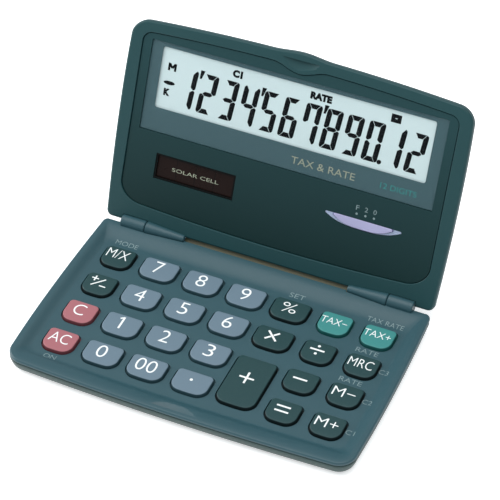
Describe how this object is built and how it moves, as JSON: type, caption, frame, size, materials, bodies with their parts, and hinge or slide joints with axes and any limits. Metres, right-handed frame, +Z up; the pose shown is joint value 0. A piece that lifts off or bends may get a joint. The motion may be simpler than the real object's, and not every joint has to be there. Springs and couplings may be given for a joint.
{
  "type": "folding pocket calculator",
  "caption": "Folding pocket calculator: a leaf of sprung push keys and a display leaf with solar panel and slide switch, on two friction barrel hinges.",
  "frame": {"origin": "centre of the flat underside of the key leaf, which rests on a table", "axes": "+X to the user's right along the hinge, +Y away from the user towards the hinge, +Z up; the display leaf stands open at 66.5 degrees above flat-open"},
  "size_m": [0.1104, 0.0981, 0.0672],
  "materials": {
    "case_plastic": "fine satin texture",
    "lid_plastic": "fine satin texture",
    "panel_plastic": "smooth",
    "clear_plastic": "clear, polished",
    "mask_print": "printed border",
    "polariser_film": "smooth",
    "display_glass": "polished",
    "reflector_film": "silvered, matt",
    "holder_plastic": "moulded",
    "connector_rubber": "moulded",
    "mat_rubber": "moulded",
    "carbon_rubber": "matt",
    "circuit_board": "lacquered laminate",
    "chip_resin": "poured resin",
    "component_body": "ceramic and lacquer",
    "cell_steel": "plated steel can",
    "spring_steel": "plated strip",
    "screw_steel": "plated",
    "pin_steel": "polished",
    "amber_film": "flexible film",
    "solar_glass": "dark coated glass",
    "lilac_plastic": "smooth",
    "switch_well": "smooth",
    "key_number": "satin with printed legend",
    "key_dark": "satin with printed legend",
    "key_clear": "satin with printed legend",
    "key_tax": "satin with printed legend"
  },
  "bodies": {
    "key_leaf": {"base_bottom_case": "case_plastic", "base_top_case": "case_plastic", "key_board": "circuit_board", "keymat": "mat_rubber", "contact_pills": "carbon_rubber", "base_screws": "screw_steel", "hinge_pin_left": "pin_steel", "hinge_pin_right": "pin_steel", "flex_cable": "amber_film"},
    "display_leaf": {"lid_front_frame": "lid_plastic", "lid_rear_case": "lid_plastic", "face_panel": "panel_plastic", "display_window": "clear_plastic", "window_mask": "mask_print", "lcd_front_polariser": "polariser_film", "lcd_front_glass": "display_glass", "lcd_rear_glass": "display_glass", "lcd_reflector": "reflector_film", "lcd_holder": "holder_plastic", "zebra_strip": "connector_rubber", "lid_board": "circuit_board", "lsi_chip": "chip_resin", "board_components": "component_body", "button_cell": "cell_steel", "battery_contact_plus": "spring_steel", "battery_contact_minus": "spring_steel", "solar_cell": "solar_glass", "switch_escutcheon": "switch_well", "lid_screws": "screw_steel"},
    "mode_switch": {"switch_knob": "lilac_plastic", "switch_contact": "spring_steel"},
    "key_memory_exchange_body": {"key_memory_exchange": "key_dark"},
    "key_7_body": {"key_7": "key_number"},
    "key_8_body": {"key_8": "key_number"},
    "key_9_body": {"key_9": "key_number"},
    "key_percent_body": {"key_percent": "key_dark"},
    "key_tax_minus_body": {"key_tax_minus": "key_tax"},
    "key_tax_plus_body": {"key_tax_plus": "key_tax"},
    "key_sign_change_body": {"key_sign_change": "key_dark"},
    "key_4_body": {"key_4": "key_number"},
    "key_5_body": {"key_5": "key_number"},
    "key_6_body": {"key_6": "key_number"},
    "key_multiply_body": {"key_multiply": "key_dark"},
    "key_divide_body": {"key_divide": "key_dark"},
    "key_memory_recall_body": {"key_memory_recall": "key_dark"},
    "key_clear_body": {"key_clear": "key_clear"},
    "key_1_body": {"key_1": "key_number"},
    "key_2_body": {"key_2": "key_number"},
    "key_3_body": {"key_3": "key_number"},
    "key_plus_body": {"key_plus": "key_dark"},
    "key_minus_body": {"key_minus": "key_dark"},
    "key_memory_minus_body": {"key_memory_minus": "key_dark"},
    "key_all_clear_body": {"key_all_clear": "key_clear"},
    "key_0_body": {"key_0": "key_number"},
    "key_00_body": {"key_00": "key_number"},
    "key_point_body": {"key_point": "key_number"},
    "key_equals_body": {"key_equals": "key_dark"},
    "key_memory_plus_body": {"key_memory_plus": "key_dark"}
  },
  "joints": [
    {"name": "display_leaf_hinge", "type": "hinge", "parent": "key_leaf", "child": "display_leaf", "pos_m": [0, 0.03455, 0.00575], "axis": [1, 0, 0], "range_deg": [-66.5, 113.5], "deforming": ["flex_cable"]},
    {"name": "mode_switch_slide", "type": "slide", "parent": "display_leaf", "child": "mode_switch", "axis": [1, 0, 0], "range_m": [-0.00275, 0.00275]},
    {"name": "key_memory_exchange_press", "type": "slide", "parent": "key_leaf", "child": "key_memory_exchange_body", "axis": [0, 0, -1], "range_m": [0, 0.00055], "stiffness_N_per_m": 1500, "deforming": ["keymat"]},
    {"name": "key_7_press", "type": "slide", "parent": "key_leaf", "child": "key_7_body", "axis": [0, 0, -1], "range_m": [0, 0.00055], "stiffness_N_per_m": 1500, "deforming": ["keymat"]},
    {"name": "key_8_press", "type": "slide", "parent": "key_leaf", "child": "key_8_body", "axis": [0, 0, -1], "range_m": [0, 0.00055], "stiffness_N_per_m": 1500, "deforming": ["keymat"]},
    {"name": "key_9_press", "type": "slide", "parent": "key_leaf", "child": "key_9_body", "axis": [0, 0, -1], "range_m": [0, 0.00055], "stiffness_N_per_m": 1500, "deforming": ["keymat"]},
    {"name": "key_percent_press", "type": "slide", "parent": "key_leaf", "child": "key_percent_body", "axis": [0, 0, -1], "range_m": [0, 0.00055], "stiffness_N_per_m": 1500, "deforming": ["keymat"]},
    {"name": "key_tax_minus_press", "type": "slide", "parent": "key_leaf", "child": "key_tax_minus_body", "axis": [0, 0, -1], "range_m": [0, 0.00055], "stiffness_N_per_m": 1500, "deforming": ["keymat"]},
    {"name": "key_tax_plus_press", "type": "slide", "parent": "key_leaf", "child": "key_tax_plus_body", "axis": [0, 0, -1], "range_m": [0, 0.00055], "stiffness_N_per_m": 1500, "deforming": ["keymat"]},
    {"name": "key_sign_change_press", "type": "slide", "parent": "key_leaf", "child": "key_sign_change_body", "axis": [0, 0, -1], "range_m": [0, 0.00055], "stiffness_N_per_m": 1500, "deforming": ["keymat"]},
    {"name": "key_4_press", "type": "slide", "parent": "key_leaf", "child": "key_4_body", "axis": [0, 0, -1], "range_m": [0, 0.00055], "stiffness_N_per_m": 1500, "deforming": ["keymat"]},
    {"name": "key_5_press", "type": "slide", "parent": "key_leaf", "child": "key_5_body", "axis": [0, 0, -1], "range_m": [0, 0.00055], "stiffness_N_per_m": 1500, "deforming": ["keymat"]},
    {"name": "key_6_press", "type": "slide", "parent": "key_leaf", "child": "key_6_body", "axis": [0, 0, -1], "range_m": [0, 0.00055], "stiffness_N_per_m": 1500, "deforming": ["keymat"]},
    {"name": "key_multiply_press", "type": "slide", "parent": "key_leaf", "child": "key_multiply_body", "axis": [0, 0, -1], "range_m": [0, 0.00055], "stiffness_N_per_m": 1500, "deforming": ["keymat"]},
    {"name": "key_divide_press", "type": "slide", "parent": "key_leaf", "child": "key_divide_body", "axis": [0, 0, -1], "range_m": [0, 0.00055], "stiffness_N_per_m": 1500, "deforming": ["keymat"]},
    {"name": "key_memory_recall_press", "type": "slide", "parent": "key_leaf", "child": "key_memory_recall_body", "axis": [0, 0, -1], "range_m": [0, 0.00055], "stiffness_N_per_m": 1500, "deforming": ["keymat"]},
    {"name": "key_clear_press", "type": "slide", "parent": "key_leaf", "child": "key_clear_body", "axis": [0, 0, -1], "range_m": [0, 0.00055], "stiffness_N_per_m": 1500, "deforming": ["keymat"]},
    {"name": "key_1_press", "type": "slide", "parent": "key_leaf", "child": "key_1_body", "axis": [0, 0, -1], "range_m": [0, 0.00055], "stiffness_N_per_m": 1500, "deforming": ["keymat"]},
    {"name": "key_2_press", "type": "slide", "parent": "key_leaf", "child": "key_2_body", "axis": [0, 0, -1], "range_m": [0, 0.00055], "stiffness_N_per_m": 1500, "deforming": ["keymat"]},
    {"name": "key_3_press", "type": "slide", "parent": "key_leaf", "child": "key_3_body", "axis": [0, 0, -1], "range_m": [0, 0.00055], "stiffness_N_per_m": 1500, "deforming": ["keymat"]},
    {"name": "key_plus_press", "type": "slide", "parent": "key_leaf", "child": "key_plus_body", "axis": [0, 0, -1], "range_m": [0, 0.00055], "stiffness_N_per_m": 1500, "deforming": ["keymat"]},
    {"name": "key_minus_press", "type": "slide", "parent": "key_leaf", "child": "key_minus_body", "axis": [0, 0, -1], "range_m": [0, 0.00055], "stiffness_N_per_m": 1500, "deforming": ["keymat"]},
    {"name": "key_memory_minus_press", "type": "slide", "parent": "key_leaf", "child": "key_memory_minus_body", "axis": [0, 0, -1], "range_m": [0, 0.00055], "stiffness_N_per_m": 1500, "deforming": ["keymat"]},
    {"name": "key_all_clear_press", "type": "slide", "parent": "key_leaf", "child": "key_all_clear_body", "axis": [0, 0, -1], "range_m": [0, 0.00055], "stiffness_N_per_m": 1500, "deforming": ["keymat"]},
    {"name": "key_0_press", "type": "slide", "parent": "key_leaf", "child": "key_0_body", "axis": [0, 0, -1], "range_m": [0, 0.00055], "stiffness_N_per_m": 1500, "deforming": ["keymat"]},
    {"name": "key_00_press", "type": "slide", "parent": "key_leaf", "child": "key_00_body", "axis": [0, 0, -1], "range_m": [0, 0.00055], "stiffness_N_per_m": 1500, "deforming": ["keymat"]},
    {"name": "key_point_press", "type": "slide", "parent": "key_leaf", "child": "key_point_body", "axis": [0, 0, -1], "range_m": [0, 0.00055], "stiffness_N_per_m": 1500, "deforming": ["keymat"]},
    {"name": "key_equals_press", "type": "slide", "parent": "key_leaf", "child": "key_equals_body", "axis": [0, 0, -1], "range_m": [0, 0.00055], "stiffness_N_per_m": 1500, "deforming": ["keymat"]},
    {"name": "key_memory_plus_press", "type": "slide", "parent": "key_leaf", "child": "key_memory_plus_body", "axis": [0, 0, -1], "range_m": [0, 0.00055], "stiffness_N_per_m": 1500, "deforming": ["keymat"]}
  ]
}
